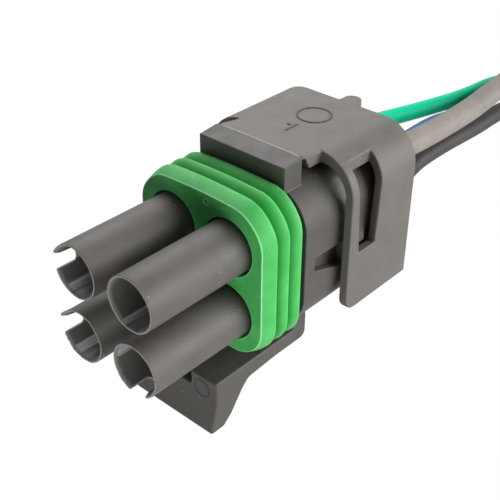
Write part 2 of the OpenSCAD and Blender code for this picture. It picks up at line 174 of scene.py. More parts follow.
def specks(tree, at, spacing, radius, core=0.7):
    # small round spots, one to a cell of a jittered lattice: 1 inside core times the radius, 0 past the radius
    cells = addNode(tree, "ShaderNodeTexVoronoi", None, {"Vector": at, "Scale": 1 / (spacing * mm)})
    return remap(tree, cells.outputs["Distance"], radius / spacing * core, radius / spacing, (1.0, 0.0))


def ownMap(tree):
    # the vector of the piece's own map
    return addNode(tree, "ShaderNodeUVMap", {"uv_map": "along"}).outputs["UV"]


def ownShares(tree):
    # the two values of the piece's own map, one by one
    return addNode(tree, "ShaderNodeSeparateXYZ", None, {0: ownMap(tree)}).outputs


def newMaterial(name, shader):
    # an empty Principled material and its Object coordinates
    made = bpy.data.materials.new(name)
    made.use_nodes = True
    tree = made.node_tree
    principled = tree.nodes["Principled BSDF"]
    for key, value in shader.items():
        principled.inputs[key].default_value = value
    at = addNode(tree, "ShaderNodeTexCoord").outputs["Object"]
    return made, tree, principled, at


def linkSurface(tree, principled, colour, rough, height, depth):
    # colour, roughness and a bump to the shader; depth is the bump's height in millimetres
    tree.links.new(colour, principled.inputs["Base Color"])
    tree.links.new(rough, principled.inputs["Roughness"])
    bump = addNode(tree, "ShaderNodeBump", None, {"Height": height, "Distance": depth * mm, "Strength": 1.0})
    tree.links.new(bump.outputs["Normal"], principled.inputs["Normal"])


# black moulded nylon: clouds and streaks in patches to the metre, grain and specks (spacing, radius, strength)
# in millimetres, and lift, by which each piece's two tones are multiplied
nylon = {"dark": (0.090, 0.083, 0.076), "light": (0.126, 0.115, 0.104), "dust": (0.55, 0.54, 0.52, 1),
         # the rim tone is a painted highlight on the mouths of the tubes, and the pale bore tone is a painted
         # light on the lit strip of each bore
         "rim": (0.42, 0.41, 0.39, 1), "rimHighlightShare": 0.55, "paintedBoreLight": (0.74, 0.72, 0.75, 1),
         "boreLightStreaks": (2600, 120, 2600), "clouds": 350, "grain": 0.11, "grainDepth": 0.016,
         "roughness": (0.50, 0.64), "specks": ((1.5, 0.06, 1.0), (0.62, 0.04, 0.5)),
         "shader": {"Specular IOR Level": 0.4, "IOR": 1.5},
         # the lifts paint shade on the body and arm, light on the cover and shade on the marks; the bead's
         # lift is its pale whitening
         "lift": {"body": 0.68, "tubes": 0.96, "cover": 1.25, "mark": 0.35, "bead": 3.6}}


def makeNylon(name, lift, rims=False):
    # two near blacks mixed by clouds plus half the fine grain, with pale specks over them
    made, tree, principled, at = newMaterial(name, nylon["shader"])
    cloud = noise(tree, at, nylon["clouds"], detail=4, roughness=0.6)
    grain = noise(tree, at, 1 / (nylon["grain"] * mm), detail=2, roughness=0.6)
    mixed = maths(tree, "ADD", cloud, maths(tree, "MULTIPLY", grain, 0.5))
    tones = [tuple(c * lift for c in nylon[k]) + (1,) for k in ("dark", "light")]
    colour = blendColours(tree, remap(tree, mixed, 0.5, 1.0), *tones)
    for spacing, radius, strength in nylon["specks"]:
        dots = maths(tree, "MULTIPLY", specks(tree, at, spacing, radius), strength)
        colour = blendColours(tree, dots, colour, nylon["dust"])
    if rims:
        # the map's first value is 1 on the strips of the bores where light is painted, its second on the thin
        # rims of the mouths, where a highlight is painted
        strip, rim = ownShares(tree)[:2]
        streaks = streakNoise(tree, at, nylon["boreLightStreaks"])
        paintedBoreLight = maths(tree, "MULTIPLY", remap(tree, strip, 0.1, 0.9, smooth=True),
                     remap(tree, streaks, 0.3, 0.7, (0.4, 1.0)))
        colour = blendColours(tree, paintedBoreLight, colour, nylon["paintedBoreLight"])
        thin = remap(tree, rim, 0.05, 1.0, (0.0, nylon["rimHighlightShare"]))
        colour = blendColours(tree, thin, colour, nylon["rim"])
    rough = remap(tree, cloud, 0.3, 0.7, nylon["roughness"])
    linkSurface(tree, principled, colour, rough, maths(tree, "ADD", grain, dots), nylon["grainDepth"])
    return made


# darker and lighter copies of one nylon: painted shade on the body and arm, painted light on the cover
nylonBodyShaded = makeNylon("shadedBodyNylon", nylon["lift"]["body"])
nylonTubes = makeNylon("tubeNylon", nylon["lift"]["tubes"], rims=True)
nylonCoverLit = makeNylon("litCoverNylon", nylon["lift"]["cover"])
# a dark copy for the marks, painted shade along them
nylonMarkShaded = makeNylon("shadedMarkNylon", nylon["lift"]["mark"])
nylonBead = makeNylon("beadNylon", nylon["lift"]["bead"])


# silicone of the seals: patterns in patches to the metre, specks (spacing, radius) and bump in millimetres
silicone = {"deep": (0.070, 0.47, 0.105, 1), "fresh": (0.100, 0.57, 0.150, 1), "dust": (0.75, 0.85, 0.75, 1),
            # the groove tone is a painted shade in the grooves, and the edge tone a painted highlight on the
            # thin edges and crests
            "groove": (0.012, 0.33, 0.035, 1), "grooveShadeShare": 0.9, "edge": (0.42, 0.88, 0.48, 1),
            "edgeHighlightShare": 0.85, "grayDeep": (0.16, 0.165, 0.17, 1), "grayFresh": (0.22, 0.225, 0.23, 1),
            "clouds": 260, "fine": 6000, "specks": (1.3, 0.055), "bump": 0.008, "roughness": (0.48, 0.62),
            "shader": {"Subsurface Weight": 0.35, "Subsurface Scale": 0.0009,
                       "Subsurface Radius": (0.3, 1.0, 0.35), "IOR": 1.41, "Specular IOR Level": 0.3}}


def makeSilicone(name, deep, fresh, ribbed=False):
    # two tones mixed by clouds, with a few pale specks that stand out of the fine grain
    made, tree, principled, at = newMaterial(name, silicone["shader"])
    cloud = noise(tree, at, silicone["clouds"], roughness=0.55)
    fine = noise(tree, at, silicone["fine"], detail=2)
    colour = blendColours(tree, remap(tree, cloud, 0.35, 0.65), deep, fresh)
    if ribbed:
        # the map's first value runs from 0 on the crests to 1 in the grooves, where shade is painted, its
        # second is 1 on thin edges, where a highlight is painted
        low, thin = ownShares(tree)[:2]
        groove = remap(tree, low, 0.15, 0.9, (0.0, silicone["grooveShadeShare"]), smooth=True)
        colour = blendColours(tree, groove, colour, silicone["groove"])
        edge = remap(tree, thin, 0.1, 1.0, (0.0, silicone["edgeHighlightShare"]))
        colour = blendColours(tree, edge, colour, silicone["edge"])
    dots = specks(tree, at, *silicone["specks"])
    colour = blendColours(tree, dots, colour, silicone["dust"])
    height = maths(tree, "ADD", fine, maths(tree, "MULTIPLY", dots, 2.0))
    rough = remap(tree, fine, 0.3, 0.7, silicone["roughness"])
    linkSurface(tree, principled, colour, rough, height, silicone["bump"])
    return made


greenSilicone = makeSilicone("greenSilicone", silicone["deep"], silicone["fresh"])
ribbedSilicone = makeSilicone("ribbedSilicone", silicone["deep"], silicone["fresh"], ribbed=True)
markSilicone = makeSilicone("markSilicone", silicone["fresh"], silicone["edge"])
graySilicone = makeSilicone("graySilicone", silicone["grayDeep"], silicone["grayFresh"])


# terminals and strands: two tones and the middle of the roughness
metal = {"brass": ((0.58, 0.54, 0.46, 1), (0.72, 0.69, 0.62, 1), 0.34),
         "copper": ((0.62, 0.30, 0.17, 1), (0.83, 0.45, 0.27, 1), 0.3),
         "clouds": 900, "fine": 9000, "bump": 0.004, "smoother": 0.08, "rougher": 0.1}


def makeMetal(name, dark, light, rough):
    # the tones and the roughness follow the same clouds
    made, tree, principled, at = newMaterial(name, {"Metallic": 1.0})
    cloud = noise(tree, at, metal["clouds"], detail=4, roughness=0.6)
    colour = blendColours(tree, remap(tree, cloud, 0.35, 0.65), dark, light)
    fine = noise(tree, at, metal["fine"], detail=2)
    spread = remap(tree, cloud, 0.3, 0.7, (rough - metal["smoother"], rough + metal["rougher"]))
    linkSurface(tree, principled, colour, spread, fine, metal["bump"])
    return made


tinnedBrass = makeMetal("tinnedBrass", *metal["brass"])
bareCopper = makeMetal("bareCopper", *metal["copper"])


# insulation: each lead's two tones, and streaks to the unit of the lead's own map
leadPlastic = {"green": ((0.000, 0.64, 0.33, 1), (0.000, 0.76, 0.42, 1)),
               "gray": ((0.25, 0.226, 0.203, 1), (0.34, 0.308, 0.279, 1)),
               "blue": ((0.030, 0.115, 0.36, 1), (0.05, 0.16, 0.46, 1)),
               "black": ((0.045, 0.041, 0.041, 1), (0.065, 0.060, 0.060, 1)),
               "streaks": (60, 9, 1), "clouds": 220, "fine": 5000, "bump": 0.008, "roughness": (0.46, 0.60),
               "shader": {"IOR": 1.45, "Specular IOR Level": 0.18}}


def makeInsulation(name, deep, fresh):
    # extruded plastic: two tones mixed by faint streaks along the lead plus clouds
    made, tree, principled, at = newMaterial(name, leadPlastic["shader"])
    streaks = streakNoise(tree, ownMap(tree), leadPlastic["streaks"])
    cloud = noise(tree, at, leadPlastic["clouds"], roughness=0.6)
    share = remap(tree, maths(tree, "ADD", streaks, cloud), 0.75, 1.25)
    height = maths(tree, "ADD", streaks, noise(tree, at, leadPlastic["fine"], detail=2))
    linkSurface(tree, principled, blendColours(tree, share, deep, fresh),
                remap(tree, streaks, 0.3, 0.7, leadPlastic["roughness"]), height, leadPlastic["bump"])
    return made


insulation = {k: makeInsulation(k + "Insulation", *leadPlastic[k]) for k in leadNames}
print("materials made")


# leads: each starts in its crimp, runs straight out of its cable seal and then along its route
leads = {"steps": 14, "around": 28, "corePart": 0.6, "crimpFront": 6.25, "sealExit": 15.95, "combExit": 18.35,
         "endRound": 0.08, "recess": 0.4, "gap": 0.02, "wobble": 0.003, "sharp": 50,
         "diameter": {"green": 2.2, "gray": 3.1, "blue": 2.2, "black": 2.4}}
routes = {
    "green": [(-4.1, 20, 22), (-3.1, 28.5, 21.5), (-1.1, 37, 21.1), (0.7, 45, 20.9), (1.3, 54, 20.4),
              (1.1, 66, 17.2), (-0.1, 84, 8.2), (-1, 99, 2.4), (-1.3, 110, 1.25), (-1.5, 120, 1.15),
              (-1.6, 156, 1.15)],
    "gray": [(4.1, 19, 22), (4.5, 31, 21.6), (4.4, 41, 21.5), (4.3, 49, 22.2), (4.3, 56, 22.6),
             (4.2, 68, 19.3), (4, 84, 10.5), (3.6, 99, 3.6), (3.3, 111, 1.75), (3.1, 121, 1.6), (3, 154, 1.6)],
    "blue": [(-4.1, 20, 13.8), (-4.1, 28, 14.2), (-4.1, 38, 14.7), (-4.1, 47, 14.7), (-4.3, 58, 12.4),
             (-4.8, 70, 8), (-5.3, 84, 3.6), (-5.9, 97, 1.6), (-6.3, 110, 1.15), (-6.8, 158, 1.15)],
    "black": [(4.1, 18.5, 13.8), (4.1, 22, 14.8), (4.1, 28, 17.7), (4.1, 33, 18.2), (4.1, 44, 17.8),
              (4.3, 53, 17.7), (5.3, 64, 15.2), (6.9, 80, 8.1), (7.8, 94, 2.85), (8.2, 106, 1.4),
              (8.4, 116, 1.25), (8.5, 156, 1.25)],
}


def headings(line):
    # direction at each point, from the point before it to the point after it
    ahead = np.vstack([line[1:], line[-1:]]) - np.vstack([line[:1], line[:-1]])
    return ahead / np.linalg.norm(ahead, axis=1)[:, None]


def smoothLine(corners, steps):
    # cubic between neighbouring corners, whose end tangents follow the headings and are as long as the span
    corners = np.array(corners, float)
    span = np.linalg.norm(np.diff(corners, axis=0), axis=1)[:, None, None]
    turn = headings(corners)
    s = (np.arange(steps) / steps)[None, :, None]
    a, b = corners[:-1, None], corners[1:, None]
    ta, tb = span * turn[:-1, None], span * turn[1:, None]
    points = ((1 + 2 * s) * (1 - s) ** 2 * a + s * s * (3 - 2 * s) * b
              + s * (1 - s) ** 2 * ta - s * s * (1 - s) * tb)
    return np.vstack([points.reshape(-1, 3), corners[-1:]])


def makeLead(name):
    # a circle swept square to the route, its radius wavering with a sine; the far end rounds over, turns in to
    # the copper and closes just inside
    sideX, sideZ = cavityAt[name]
    x, z = sideX * shared["half"], sideZ * shared["half"] + shared["middle"]
    line = smoothLine([(x, leads["crimpFront"], z), (x, leads["sealExit"], z)] + routes[name], leads["steps"])
    radius = leads["diameter"][name] / 2
    inner = radius * leads["corePart"] + leads["gap"]
    ahead = headings(line)
    end, last = line[-1], ahead[-1]
    rounded, inside = end - leads["endRound"] * last, end - leads["recess"] * last
    tail = np.array([rounded, end, end, inside, inside])
    points = np.vstack([line[:1], line[:-1], tail])
    radii = np.concatenate([[poleRadius], np.full(len(line) - 1, radius),
                            [radius, radius - leads["endRound"], inner, inner, poleRadius]])
    wobble = 1 - leads["wobble"] * (1 + np.sin(np.arange(len(radii)) * 0.9 + radius * 7))
    ahead = np.vstack([ahead[:1], ahead[:-1], np.repeat(last[None], len(tail), 0)])
    side = np.cross(ahead, (0, 0, 1))
    side /= np.linalg.norm(side, axis=1)[:, None]
    up = np.cross(side, ahead)
    turn = fullTurn(leads["around"])
    ring = np.cos(turn)[None, :, None] * side[:, None] + np.sin(turn)[None, :, None] * up[:, None]
    rings = points[:, None] + (radii * wobble)[:, None, None] * ring
    # the map counts centimetres along the lead, and runs from 1 to 0 and back round it
    reach = np.concatenate([[0], np.cumsum(np.linalg.norm(np.diff(points, axis=0), axis=1))]) / 10
    uv = np.stack(np.broadcast_arrays(reach[:, None], np.abs(turn / math.pi - 1)[None]), -1).reshape(-1, 2)
    made = makePiece(name + "Lead", rings.reshape(-1, 3), gridFaces(len(points), leads["around"], flip=True),
                     insulation[name], name + "_insulation", "connector", sharp=leads["sharp"], uv=uv)
    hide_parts("lead_" + name)
    return made, line


leadPieces, leadLines = {}, {}
for name in leadNames:
    leadPieces[name], leadLines[name] = makeLead(name)
print("leads made")


# stranded copper at both ends of each lead; fill is its share of the room, and slack keeps the strands apart
strands = {"around": 8, "steps": 12, "pitch": 11, "bare": 6, "crimp": 3.4, "lap": 0.3, "fill": 0.98,
           "slack": 0.985, "uneven": 0.02, "rings": (1, 6, 12)}


def strandBundle(start, length, radius):
    # nineteen strands along y: one in the middle, six round it and twelve outside, each a helix of one turn to
    # the pitch; sines make their distances from the middle and their lengths slightly uneven
    strand = radius / 5
    orbit = np.repeat([0, 2 * strand, 4 * strand], strands["rings"])
    phase = np.concatenate([np.arange(n) / n for n in strands["rings"]]) * 2 * math.pi
    s = np.linspace(0, 1, strands["steps"])
    turn = phase[:, None] + s[None] * length / strands["pitch"] * 2 * math.pi
    uneven = 1 + strands["uneven"] * np.sin(phase[:, None] * 5 + orbit[:, None] * 40)
    reach = s * length * (0.99 - 0.4 * np.abs(uneven - 1))
    away = orbit[:, None]
    centre = np.stack([away * np.cos(turn) * uneven, reach, away * np.sin(turn) * uneven], -1)
    widths = np.full(strands["steps"] - 2, strand * strands["slack"])
    tips = np.concatenate([[poleRadius], widths, [poleRadius]])
    around = fullTurn(strands["around"])
    ring = np.stack([np.cos(around), np.zeros_like(around), np.sin(around)], -1)
    points = centre[:, :, None] + tips[None, :, None, None] * ring[None, None]
    faces = gridFaces(strands["steps"], strands["around"], flip=True)
    before = np.arange(len(orbit)) * strands["steps"] * strands["around"]
    return points.reshape(-1, 3) + np.array(start), (faces[None] + before[:, None, None]).reshape(-1, 4)


for name in leadNames:
    core = leads["diameter"][name] / 2 * leads["corePart"] * strands["fill"]
    first, last = leadLines[name][0], leadLines[name][-1]
    ends = [strandBundle(first - (0, strands["crimp"], 0), strands["crimp"], core),
            strandBundle(last - (0, strands["lap"], 0), strands["bare"] + strands["lap"], core)]
    copper = makePiece(name + "Copper", *joinParts(ends), bareCopper, "copper", "connector")
    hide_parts("conductor_" + name)
print("copper made")


# front seal: crests and length run along y from the face, and insets go in from the outline of the crests; the
# arches of the top and bottom sides begin archFrom from the middle; side, bend, middle, across and round count
# points
seal = {"half": 9.3, "corner": 4.2, "cornerShare": 0.8, "hole": 3.42, "holeRound": 0.1, "length": 6.5,
        "crests": (2.0, 3.95, 5.97), "crestFlat": 0.06, "groove": 0.72, "grooveFloor": 0.5, "faceInset": 0.42,
        "tailInset": 0.95, "tailStep": 0.25, "line": 0.12, "dish": 0.05, "holeShine": 0.7, "archTop": 0.5,
        "archBottom": 0.15, "archFrom": 7.6, "archOver": 1.4, "within": 0.002, "sharp": 50,
        "side": 14, "bend": 22, "middle": 14, "across": 8, "round": 6,
        "rise": (0.02, 0.1, 0.22, 0.36, 0.5, 0.64, 0.78, 0.9, 1.0)}


def sealEdge(inset):
    # a quarter of a rounded square, from the middle of its top to the middle of its side
    half, corner = seal["half"] - inset, seal["corner"] - seal["cornerShare"] * inset
    flat = half - corner
    run = np.linspace(0, 1, seal["side"] + 1)
    turn = np.linspace(0, math.pi / 2, seal["bend"])
    x = np.concatenate([run[:-1] * flat, flat + corner * np.sin(turn), np.full(seal["side"], half)])
    z = np.concatenate([np.full(seal["side"], half), flat + corner * np.cos(turn), flat * (1 - run[1:])])
    return np.stack([x, z], -1)


def sealProfile():
    # inset, y and painted highlight down the outside: from the sharp border of the face to each crest a rise
    # like a quarter of a sine wave, a sharp drop behind it to the flat floor of the next groove, last a narrow
    # tail
    floor = seal["groove"]
    inset, y, light = [[seal["faceInset"]]], [[0.0]], [[1.0]]
    front, low = 0.0, seal["faceInset"]
    rise = np.array(seal["rise"])
    for crest in seal["crests"]:
        inset += [low * (1 - np.sin(rise * math.pi / 2)), [0.02, 0.09, floor - 0.06, floor]]
        y += [front + (crest - seal["crestFlat"] - front) * rise, np.array([0.0, 0.04, 0.1, 0.16]) + crest]
        light += [np.where(rise == rise[0], front == 0, 0.0), [0.9, 0.6, 0.0, 0.0]]
        front, low = crest + seal["grooveFloor"], floor
        if crest < seal["crests"][-1]:
            inset.append([floor])
            y.append([front])
            light.append([0.0])
    inset.append([seal["tailInset"], seal["tailInset"]])
    y.append([seal["crests"][-1] + seal["tailStep"], seal["length"]])
    light.append([0.0, 0.0])
    return tuple(np.concatenate(part).astype(float) for part in (inset, y, light))


def quarterBorder(inset):
    # the outer edge of a quarter, then straight back to the middle and up to the start
    outer = sealEdge(inset)
    run = np.linspace(0, 1, seal["middle"] + 1)
    back = np.linspace(1, 0, seal["middle"] + 1)[1:, None] * (outer[-1, 0], 0)
    return np.concatenate([outer, back, run[1:-1, None] * (0, outer[-1, 0])])


def sealQuarter():
    # back, hole and face are one grid: rays from the cavity's axis to the quarter's own border, at given radii
    # and y; the outside is a second grid along the profile
    inset, depth, light = sealProfile()
    ray = quarterBorder(inset[0]) - shared["half"]
    far = np.linalg.norm(ray, axis=1)
    ray /= far[:, None]
    hole, soft = seal["hole"], seal["holeRound"]
    turn = np.linspace(0, math.pi / 2, seal["round"])[1:]
    t = np.linspace(0, 1, seal["across"] + 1)[1:]
    near = np.concatenate([[hole, hole], hole + soft * (1 - np.cos(turn)), [hole + soft + seal["line"]]])
    last = far - seal["line"]
    radius = np.concatenate([far[None], np.broadcast_to(near[:, None], (len(near), len(far))),
                             near[-1] + t[:, None] * (last - near[-1]), far[None]])
    y = np.concatenate([[seal["length"], seal["length"], soft], soft * (1 - np.sin(turn)), [0.0],
                        seal["dish"] * np.sin(math.pi * t) ** 2, [0.0]])
    # the face has a painted highlight on the rims of the holes and on the outer border
    shine = np.zeros(radius.shape)
    shine[len(near) - 1] = seal["holeShine"]
    shine[-1, :len(sealEdge(inset[0]))] = 1.0
    flat = shared["half"] + radius[..., None] * ray
    flat[0] = quarterBorder(seal["tailInset"])
    front = np.stack([flat[..., 0], np.broadcast_to(y[:, None], radius.shape), flat[..., 1]], -1)
    rings = np.stack([sealEdge(i) for i in inset])
    skin = np.stack([rings[..., 0], np.broadcast_to(depth[:, None], rings.shape[:2]), rings[..., 1]], -1)
    # share of the groove's depth, which sets the painted shade: 0 on the face and the crests, 1 in the grooves
    low = np.clip(inset / seal["groove"], 0, 1) * (depth > seal["crests"][0])
    shares = np.stack([np.concatenate([np.zeros(radius.size), np.repeat(low, rings.shape[1])]),
                       np.concatenate([shine.ravel(), np.repeat(light, rings.shape[1])])], -1)
    return *joinParts([(front.reshape(-1, 3), gridFaces(*radius.shape)),
                       (skin.reshape(-1, 3), gridFaces(*rings.shape[:2], wrap=False))]), shares


def makeSeal():
    # four mirrored quarters; the top and bottom sides are then arched by a parabola across the width
    quarter, faces, shares = sealQuarter()
    points, faces = joinParts([(quarter * (sx, 1, sz), faces if sx * sz > 0 else [f[::-1] for f in faces])
                               for sx in (-1, 1) for sz in (-1, 1)])
    x, z = points[:, 0], points[:, 2]
    across = np.clip(1 - (x / seal["half"]) ** 2, 0, 1)
    outward = np.clip((np.abs(z) - seal["archFrom"]) / seal["archOver"], 0, 1)
    outward = outward * outward * (3 - 2 * outward)
    points[:, 2] += across * outward * np.where(z > 0, seal["archTop"], -seal["archBottom"])
    made = makePiece("ribbedSeal", points + datum, faces, ribbedSilicone, "green_silicone", "connector",
                     sharp=seal["sharp"], within=seal["within"], uv=np.tile(shares, (4, 1)))
    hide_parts("front_seal")


makeSeal()
print("seal made")


# contact tubes of the housing; angles are in degrees, from +x towards +z, and y runs back from the seal's face
tubes = {"radius": 3.15, "land": 3.4, "landRows": (6.6, 1.1, 0.9), "wallRows": (-3, -7, -10.5), "bore": 2.75,
         "boreRows": (-9, -4, 0.9), "reach": 13.8, "lip": ((0, 0.12), (0.012, 0.05), (0.05, 0.01), (0.09, 0)),
         "rimIn": 2.98, "rimRows": (0.01, 0.07), "rimRound": 0.06, "leadIn": 0.5, "stopRadius": 1.9,
         "stopRows": (1, 2.6), "grooveHalf": 0.9, "grooveDepth": 0.1, "columns": 112, "sharp": 48,
         "notchDepth": 2.7, "notchRound": 0.4, "notchLip": 0.16, "notchColumns": (0.01, 0.04, 0.09, 0.16),
         "notchAt": {"green": 180, "gray": None, "blue": 180, "black": -85},
         "notchWidth": {"green": 1.9, "gray": 0, "blue": 1.9, "black": 2.4},
         "raggedness": {"green": 0.035, "gray": 0.05, "blue": 0.12, "black": 0.07},
         # how far the torn upper flank of a notch bends out, the middle and half width of that part, and the
         # share of it that the bore's wall follows
         "bent": {"green": 0.2, "gray": 0, "blue": 0.42, "black": 0},
         "bentAt": 160, "bentOver": 13, "bentBore": 0.85,
         # middle and half width of the strip of painted light in each bore, how soft its sides are, and how
         # light the painted highlight makes the rows from the lip inwards
         "boreLightAt": {"green": (-77, 50), "gray": (-72, 49), "blue": (-77, 52), "black": (140, 40)},
         "boreLightSoft": 0.06, "rimLight": (1, 1, 1, 0.75, 0.2)}


def tubeColumns(name):
    # even angles, and more of them where the notch has its walls and its round inner corners; with each angle
    # goes its distance along the wall from the notch's middle, or a large one where there is no notch
    notch = tubes["notchAt"][name]
    even = fullTurn(tubes["columns"]) - math.pi
    if notch is None:
        return even, np.full(len(even), 9.0)
    half, soft = tubes["notchWidth"][name] / 2, tubes["notchRound"]
    corner = half - soft * (1 - np.sin(np.linspace(0, math.pi / 2, 6)))
    extra = np.concatenate([corner, half + np.array(tubes["notchColumns"])])
    offset = np.concatenate([-extra, extra]) / tubes["radius"]
    middle = math.radians(notch)
    every = (np.concatenate([even, offset + middle]) + math.pi) % (2 * math.pi) - math.pi
    turn = np.unique(np.round(every, 7))
    return turn, np.abs((turn - middle + math.pi) % (2 * math.pi) - math.pi) * tubes["radius"]


def tubeMouth(name, turn, away):
    # how far the mouth's edge lies back at each angle: a slight waviness from three sines, and the notch, flat
    # with round inner corners and round lips
    half, soft, lip = tubes["notchWidth"][name] / 2, tubes["notchRound"], tubes["notchLip"]
    phase = len(name) * 1.7
    wave = (np.sin(7 * turn + phase) + np.sin(13 * turn + 2 * phase) + np.sin(31 * turn + 3 * phase)) / 3
    edge = tubes["raggedness"][name] * (1 + wave) * 0.5
    inCorner = np.clip((away - half + soft) / soft, 0, 1)
    depth = tubes["notchDepth"] - soft * (1 - np.sqrt(1 - inCorner ** 2))
    onLip = np.clip((away - half) / lip, 0, 1)
    return np.where(away <= half, depth, edge + lip * (1 - np.sqrt(1 - (1 - onLip) ** 2)))


def makeTube(name):
    # a closed wall as one grid, angle by outline: from the root forward outside, over the mouth and back in
    turn, away = tubeColumns(name)
    mouth = tubeMouth(name, turn, away) - tubes["reach"]
    r, land, rim, bore, stop = (tubes[k] for k in ("radius", "land", "rimIn", "bore", "stopRadius"))
    # a shallow flat groove runs along the bore's floor
    flat = (bore + tubes["grooveDepth"]) / np.maximum(-np.sin(turn), 0.5)
    onFloor = (np.sin(turn) < -0.5) & (flat * np.abs(np.cos(turn)) < tubes["grooveHalf"])
    inside = np.where(onFloor, flat, bore)
    off = (np.degrees(turn) - tubes["bentAt"]) / tubes["bentOver"]
    bend = tubes["bent"][name] * np.exp(-off ** 2) * (away > tubes["notchWidth"][name] / 2)
    root, landFront, wallBack = tubes["landRows"]
    wall = [(land, root), (land, landFront), (r, wallBack)] + [(r, y) for y in tubes["wallRows"]]
    lip = [(r - inward + bend, mouth + behind) for inward, behind in tubes["lip"]]
    rims = [(rim + bend, mouth + tubes["rimRows"][0]),
            (np.maximum(inside, rim - tubes["rimRound"]) + bend, mouth + tubes["rimRows"][1])]
    bores = [(inside + tubes["bentBore"] * bend, mouth + tubes["leadIn"])]
    bores += [(inside, y) for y in tubes["boreRows"]]
    stopFront, stopBack = tubes["stopRows"]
    stops = [(bore, stopFront), (stop, stopFront), (stop, stopBack), (bore, stopBack), (bore, root),
             (land, root)]
    rows = wall + lip + rims + bores + stops
    radius, y = (np.stack([np.broadcast_to(v, turn.shape) for v in column]) for column in zip(*rows))
    points = np.stack([radius * np.cos(turn), y, radius * np.sin(turn)], -1).reshape(-1, 3)
    side, level = cavityAt[name]
    points += (side * shared["half"], shared["sealFront"], level * shared["half"] + shared["middle"])
    boreFrom = len(wall + lip + rims)
    # a painted highlight on the lip, the rim and the lead-in, weaker inwards
    light = np.zeros(len(rows))
    light[boreFrom + 1 - len(tubes["rimLight"]):boreFrom + 1] = tubes["rimLight"]
    middle, half = (math.radians(v) for v in tubes["boreLightAt"][name])
    # the strip of painted light along the bore, soft at its sides
    strip = np.clip((np.cos(turn - middle) - math.cos(half)) / tubes["boreLightSoft"], 0, 1)
    paintedBoreLight = np.zeros((len(rows), len(turn)))
    paintedBoreLight[boreFrom:boreFrom + len(bores)] = strip
    return points, gridFaces(len(rows), len(turn)), np.stack([paintedBoreLight.ravel(), np.repeat(light, len(turn))], -1)


def makeTubes():
    # the four tubes as one piece
    made = [makeTube(name) for name in leadNames]
    points, faces = joinParts([part[:2] for part in made])
    return makePiece("contactTubes", points, faces, nylonTubes, "black_plastic", "connector",
                     sharp=tubes["sharp"], uv=np.concatenate([part[2] for part in made]))


# body, cover and arm, each a merged copy of its solid; the width of the round edges stands beside each node
softening = {"housing": 0.14, "secondary_lock": 0.17, "lock_arm": 0.26, "cutFront": 6.45, "segments": 3,
             "angle": 30, "within": 0.015, "flatAngle": 0.5, "areaWeight": 90}


def softCopy(node, name, material, body, cutAt=None):
    # flat runs of triangles become one face each, so that every bevel ends on a true corner; what lies before
    # cutAt is cut away and the cut is closed
    work = bmesh.new()
    work.from_mesh(nodes[node].data)
    bmesh.ops.remove_doubles(work, verts=work.verts, dist=softening["within"] * mm)
    if cutAt is not None:
        everything = list(work.verts) + list(work.edges) + list(work.faces)
        bmesh.ops.bisect_plane(work, geom=everything, plane_co=(0, cutAt * mm, 0), plane_no=(0, 1, 0),
                               clear_inner=True)
        bmesh.ops.triangle_fill(work, edges=[e for e in work.edges if e.is_boundary], use_beauty=True)
    bmesh.ops.dissolve_limit(work, angle_limit=math.radians(softening["flatAngle"]), verts=work.verts,
                             edges=work.edges)
    bmesh.ops.recalc_face_normals(work, faces=work.faces)
    work.verts.index_update()
    points = [tuple(v.co) for v in work.verts]
    faces = [[v.index for v in f.verts] for f in work.faces]
    work.free()
    mesh = bpy.data.meshes.new(name)
    mesh.from_pydata(points, [], faces)
    mesh.polygons.foreach_set("use_smooth", np.ones(len(mesh.polygons), bool))
    mesh.materials.append(material)
    made = bpy.data.objects.new(name, mesh)
    bpy.context.scene.collection.objects.link(made)
    bevel = made.modifiers.new("softEdges", "BEVEL")
    bevel.width, bevel.segments, bevel.limit_method = softening[node] * mm, softening["segments"], "ANGLE"
    bevel.angle_limit = math.radians(softening["angle"])
    bevel.use_clamp_overlap = False
    bevel.miter_outer = "MITER_ARC"
    flat = made.modifiers.new("flatFaces", "WEIGHTED_NORMAL")
    flat.mode, flat.weight, flat.keep_sharp = "FACE_AREA", softening["areaWeight"], False
    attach(made, body)
    return made


tubePiece = makeTubes()
bodyPiece = softCopy("housing", "mouldedBody", nylonBodyShaded, "connector",
                     cutAt=shared["sealFront"] + softening["cutFront"])
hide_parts("housing")
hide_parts("housing")
coverPiece = softCopy("secondary_lock", "hingedCover", nylonCoverLit, "cover")
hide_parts("secondary_lock")
armPiece = softCopy("lock_arm", "sprungArm", nylonBodyShaded, "arm")
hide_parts("lock_arm")
print("housing, cover and arm made")


# thin bead of plastic along the hinge
hingeBead = {"half": 5.9, "width": 0.17, "height": 0.10, "y": 9.47, "z": 11.65, "taper": 16, "uneven": 0.15,
             "along": 41, "around": 16, "sharp": 60}


def makeHingeBead():
    # an ellipse carried along x, tapered to nothing at both ends by a sixteenth power, its width wavering with
    # the product of two sines
    run = np.linspace(-1, 1, hingeBead["along"])
    turn = fullTurn(hingeBead["around"])
    share = np.clip(1 - run ** hingeBead["taper"], 0.001, 1)[:, None]
    wave = 1 + hingeBead["uneven"] * np.sin(run * 23)[:, None] * np.sin(run * 9)[:, None]
    x = np.broadcast_to(hingeBead["half"] * run[:, None], (len(run), len(turn)))
    y = hingeBead["width"] * share * wave * np.cos(turn)[None] + hingeBead["y"]
    z = hingeBead["height"] * share * np.sin(turn)[None] + hingeBead["z"]
    points = np.stack([x, y, z], -1).reshape(-1, 3) + datum
    makePiece("hingeBead", points, gridFaces(len(run), len(turn)), nylonBead, "black_plastic", "connector",
              sharp=hingeBead["sharp"])


makeHingeBead()


